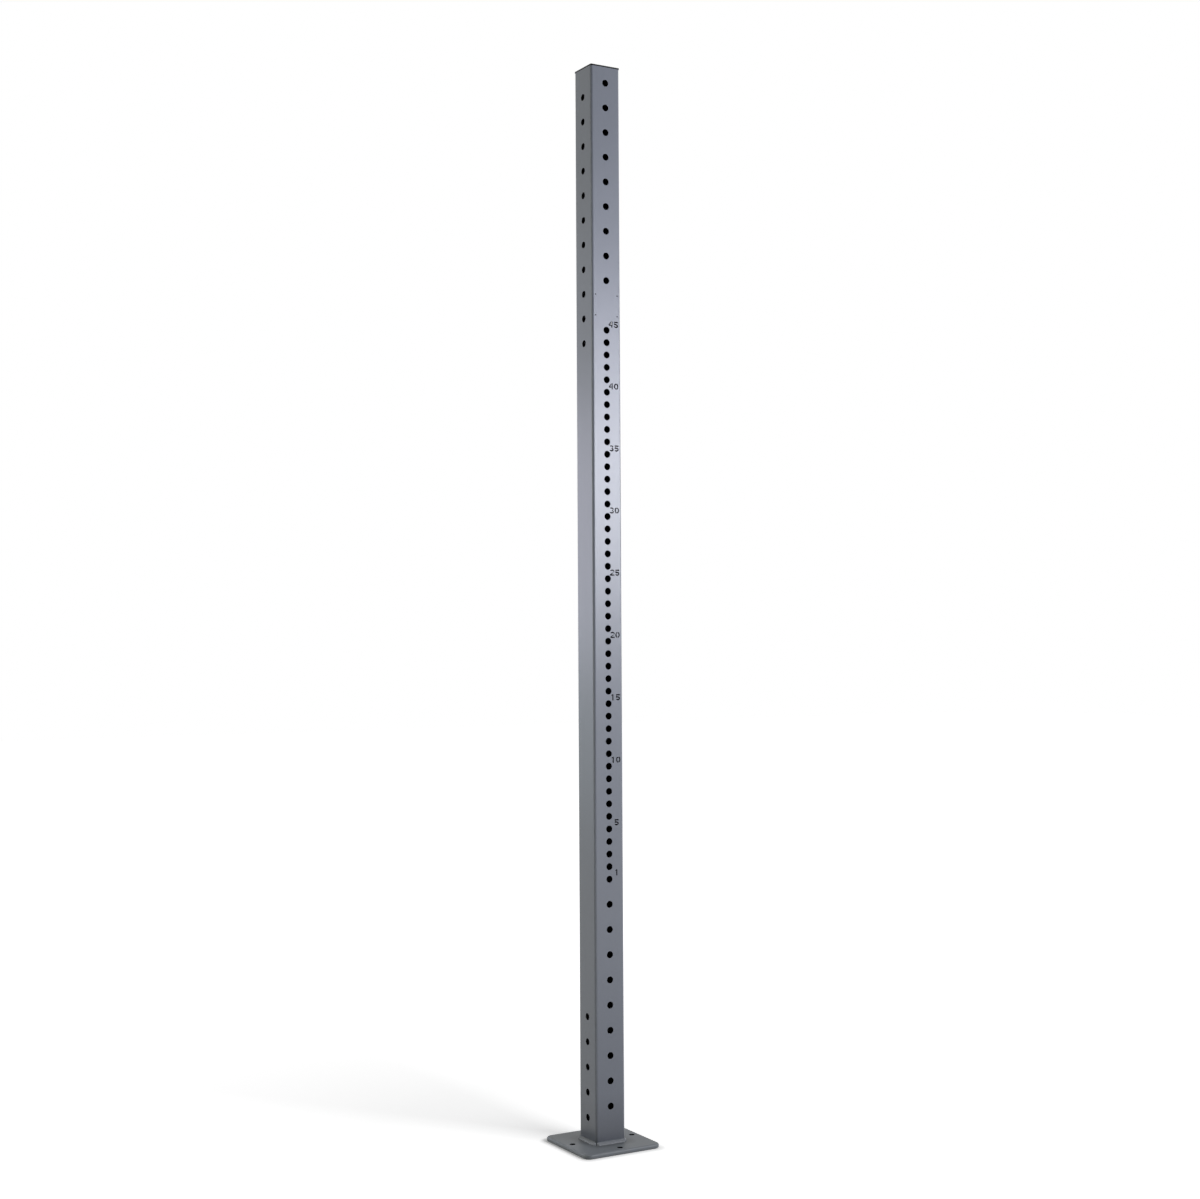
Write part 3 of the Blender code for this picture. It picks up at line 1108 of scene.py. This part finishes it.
def skirtRings(sizes, steps):
    # down the skirt's inside, round its foot and up its outside
    outer, corner, cut, seat = sizes["skirtSide"], sizes["skirtCorner"], sizes["skirtEdge"], tube["top"]
    inner, innerCorner = outer - 2 * sizes["skirtWall"], corner - sizes["skirtWall"]
    foot = seat - sizes["skirtDepth"]
    profile = (
        (inner, innerCorner, seat), (inner, innerCorner, foot + cut),
        (inner + 2 * cut, innerCorner + cut, foot), (outer - 2 * cut, corner - cut, foot),
        (outer, corner, foot + cut), (outer, corner, seat),
    )
    return [roundedSquare(side, radius, steps, z) for side, radius, z in profile]


def newFin(sizes, steps):
    # one thin fin, whose tip turns up where the tube bends it
    half, tip, cut = sizes["finThickness"] / 2, sizes["finTip"] / 2, sizes["finEdge"]
    root, rootCorner = sizes["skirtSide"] - 2 * sizes["finRoot"], sizes["skirtCorner"] - sizes["finRoot"]
    reach, corner = sizes["finReach"] * 2, sizes["finCorner"]
    profile = (
        (root, rootCorner, -half), (reach - 2 * cut, corner - cut, -tip + sizes["finBend"]),
        (reach, corner, sizes["finBend"]),
        (reach - 2 * cut, corner - cut, tip + sizes["finTopBend"]), (root, rootCorner, half),
    )
    work = bmesh.new()
    stackRings(work, [roundedSquare(side, radius, steps, z) for side, radius, z in profile])
    bmesh.ops.bridge_loops(work, edges=[edge for edge in work.edges if edge.is_boundary])
    return newPiece("plugFin", work)


def makePlug(sizes):
    steps = sizes["cornerSteps"]
    work = bmesh.new()
    stackRings(work, skirtRings(sizes, steps) + flangeRings(sizes, steps), closeFirst=True, closeLast=True)
    piece = newPiece("ribbedPlug", work)
    fin = newFin(sizes, steps)
    useTree(piece, buildFins(), sizes, {
        "Fin": fin,
        "First Height": tube["top"] - sizes["finFirst"],
        "Material": blackPlastic,
    })
    flatten(piece)
    smoothPiece(piece, sizes["crease"])
    drop(fin)
    handOver(piece, "top_cap")


makePlug(plug)
print("top plug made")


# Camera, floor and soft studio light

view = {  # where the photograph was taken from
    "place": (-2.2311, -3.8204, 1.2045),
    "yaw": 30.2973,  # degrees from +Y towards +X
    "pitch": 1.3797,
    "roll": -0.3069,
    "lens": 54.80,
    "sensor": 36.0,  # millimetres, as the lens
}


def makeCamera(looks):
    yaw, pitch, roll = (math.radians(looks[name]) for name in ("yaw", "pitch", "roll"))
    ahead = Vector((math.sin(yaw) * math.cos(pitch), math.cos(yaw) * math.cos(pitch), math.sin(pitch)))
    right = Vector((math.cos(yaw), -math.sin(yaw), 0))
    up = right.cross(ahead)
    rolledRight = math.cos(roll) * right + math.sin(roll) * up
    rolledUp = math.cos(roll) * up - math.sin(roll) * right
    camera = bpy.data.objects.new("camera", bpy.data.cameras.new("camera"))
    camera.data.lens = looks["lens"]
    camera.data.sensor_fit = "HORIZONTAL"
    camera.data.sensor_width = looks["sensor"]
    turn = Matrix((rolledRight, rolledUp, -ahead)).transposed()
    camera.matrix_world = Matrix.Translation(looks["place"]) @ turn.to_4x4()
    scene.collection.objects.link(camera)
    scene.camera = camera


studio = {
    "ambient": (0.05, 0.05, 0.05, 1.0),
    "floorSize": 40.0,
    "roomDim": 0.1,  # how white a reflection finds the room behind the camera
    "roomSide": (-0.504, -0.864, 0.0),  # the way to that room
    "roomFrom": 0.3,  # cosines off that way, between which it dims
    "roomTo": 0.8,
    "floorColor": (0.98, 0.98, 0.98, 1.0),
    "floorBounce": (0.58, 0.58, 0.58, 1.0),  # the floor's colour in the light it throws on the object
    "floorGlow": 0.68,  # the floor's own white near the post, which lets its shadow show
    "glowNear": 0.6,
    "glowFar": 3.0,  # from here on the floor is as white as the backdrop
    "contactReach": 0.02,  # how far out from the plate the painted contact shadow on the floor reaches
    # how far the floor's glow falls there and under the plate, as painted shadow
    "contactDim": 0.45,
    "boxes": {  # places in metres, the height on the post's axis that each aims at, watts and degrees
        "frontRight": {"place": (2.01, -2.98, 1.94), "aim": 1.72, "size": (3.4, 1.15),
                       "power": 53.0, "color": (0.985, 1.0, 1.095), "spread": 120},
        "keyMiddle": {"place": (2.01, -2.98, 1.9), "aim": 1.72, "size": (3.4, 0.5),
                      "power": 16.0, "color": (0.985, 1.0, 1.095), "spread": 120},
        "keyHigh": {"place": (2.01, -2.98, 2.6), "aim": 1.9, "size": (3.4, 0.5),
                    "power": 6.0, "color": (0.93, 0.95, 1.25), "spread": 120},
        "backLeft": {"place": (-2.01, 2.98, 1.7), "aim": 1.5, "size": (3.2, 1.1),
                     "power": 29.0, "color": (0.93, 0.93, 1.14)},
        "backLeftLow": {"place": (-2.01, 2.98, 0.9), "aim": 1.0, "size": (3.2, 0.8),
                        "power": 6.3, "color": (0.86, 1.03, 1.16)},
        "backLeftHigh": {"place": (-2.01, 2.98, 2.6), "aim": 1.9, "size": (3.2, 0.8),
                         "power": 3.7, "color": (0.9, 0.97, 1.13)},
        "left": {"place": (-3.37, 0.47, 1.9), "aim": 1.4, "size": (2.2, 2.4),
                 "power": 21.5, "color": (1.02, 1.05, 0.95)},
        "leftHigh": {"place": (-3.37, 0.47, 2.6), "aim": 1.6, "size": (2.2, 1.2),
                     "power": 12.2, "color": (1.02, 1.05, 0.93)},
        "floorKey": {"place": (2.3, -6.82, 3.96), "aim": 0.0, "size": (4.2, 2.3),
                     "power": 480.0, "color": (1.0, 1.0, 1.0), "floorOnly": True},
    },
}


def seenDirectly(tree):
    # 1 where the camera, a reflection or a clear surface looks straight at this
    path = addNode(tree, "ShaderNodeLightPath")
    seen = calc(tree, "MAXIMUM", path.outputs["Is Camera Ray"], path.outputs["Is Glossy Ray"])
    return calc(tree, "MAXIMUM", seen, path.outputs["Is Transmission Ray"])


def makeWorld(looks):
    world = bpy.data.worlds.new("white studio")
    scene.world = world
    world.use_nodes = True
    tree = world.node_tree
    back = tree.nodes["Background"]
    coords = addNode(tree, "ShaderNodeTexCoord").outputs["Generated"]
    side = addNode(tree, "ShaderNodeVectorMath", {0: coords, 1: looks["roomSide"]}, operation="DOT_PRODUCT")
    room = ramp(tree, side.outputs["Value"], looks["roomFrom"], looks["roomTo"], 1.0, looks["roomDim"])
    path = addNode(tree, "ShaderNodeLightPath")
    white = calc(tree, "MAXIMUM", room, path.outputs["Is Camera Ray"])
    tree.links.new(mixColors(tree, seenDirectly(tree), looks["ambient"], white), back.inputs["Color"])


def makeFloor(looks):
    half = looks["floorSize"] / 2
    work = bmesh.new()
    corners = ((-half, -half), (half, -half), (half, half), (-half, half))
    work.faces.new([work.verts.new((x, y, 0.0)) for x, y in corners])
    floor = newPiece("floor", work)
    material, tree, shader, coords = newMaterial("white floor")
    seen = seenDirectly(tree)
    tone = mixColors(tree, seen, looks["floorBounce"], looks["floorColor"])
    tree.links.new(tone, shader.inputs["Base Color"])
    shader.inputs["Roughness"].default_value = 1.0
    shader.inputs["Specular IOR Level"].default_value = 0.0
    away = addNode(tree, "ShaderNodeVectorMath", {0: coords}, operation="LENGTH").outputs["Value"]
    glow = ramp(tree, away, looks["glowNear"], looks["glowFar"], looks["floorGlow"], 1.0)
    # painted shadow: the floor's glow dims round the plate's edge and under it
    depth = addGroup(tree, wallDepth, {
        "Vector": coords, "Half Side": foot["side"] / 2, "Corner Radius": foot["cornerRadius"],
    }).outputs["Depth"]
    contactShadow = ramp(tree, depth, -looks["contactReach"], 0.0, 1.0, looks["contactDim"])
    glow = calc(tree, "MULTIPLY", glow, contactShadow)
    shader.inputs["Emission Color"].default_value = (1.0, 1.0, 1.0, 1.0)
    feed(tree, shader.inputs["Emission Strength"], calc(tree, "MULTIPLY", glow, seen))
    floor.data.materials.append(material)
    return floor


def makeBoxes(looks, floor):
    # the lamps on the object leave the floor alone, and one lamp gives the floor its soft shadow
    floorOnly, notFloor = (bpy.data.collections.new(name) for name in ("floorOnly", "notFloor"))
    for group in (floorOnly, notFloor):
        group.objects.link(floor)
    notFloor.collection_objects[0].light_linking.link_state = "EXCLUDE"
    for name, box in looks["boxes"].items():
        lamp = bpy.data.lights.new(name, "AREA")
        lamp.shape = "RECTANGLE"
        lamp.size, lamp.size_y = box["size"]
        lamp.energy = box["power"]
        lamp.color = box["color"]
        lamp.spread = math.radians(box.get("spread", 180))
        holder = bpy.data.objects.new(name, lamp)
        towards = Vector((0, 0, box["aim"])) - Vector(box["place"])
        turn = towards.to_track_quat("-Z", "Y").to_matrix().to_4x4()
        holder.matrix_world = Matrix.Translation(box["place"]) @ turn
        holder.light_linking.receiver_collection = floorOnly if box.get("floorOnly") else notFloor
        scene.collection.objects.link(holder)


makeCamera(view)
makeWorld(studio)
floor = makeFloor(studio)
makeBoxes(studio, floor)
scene.view_settings.view_transform = "Standard"
print("studio set")
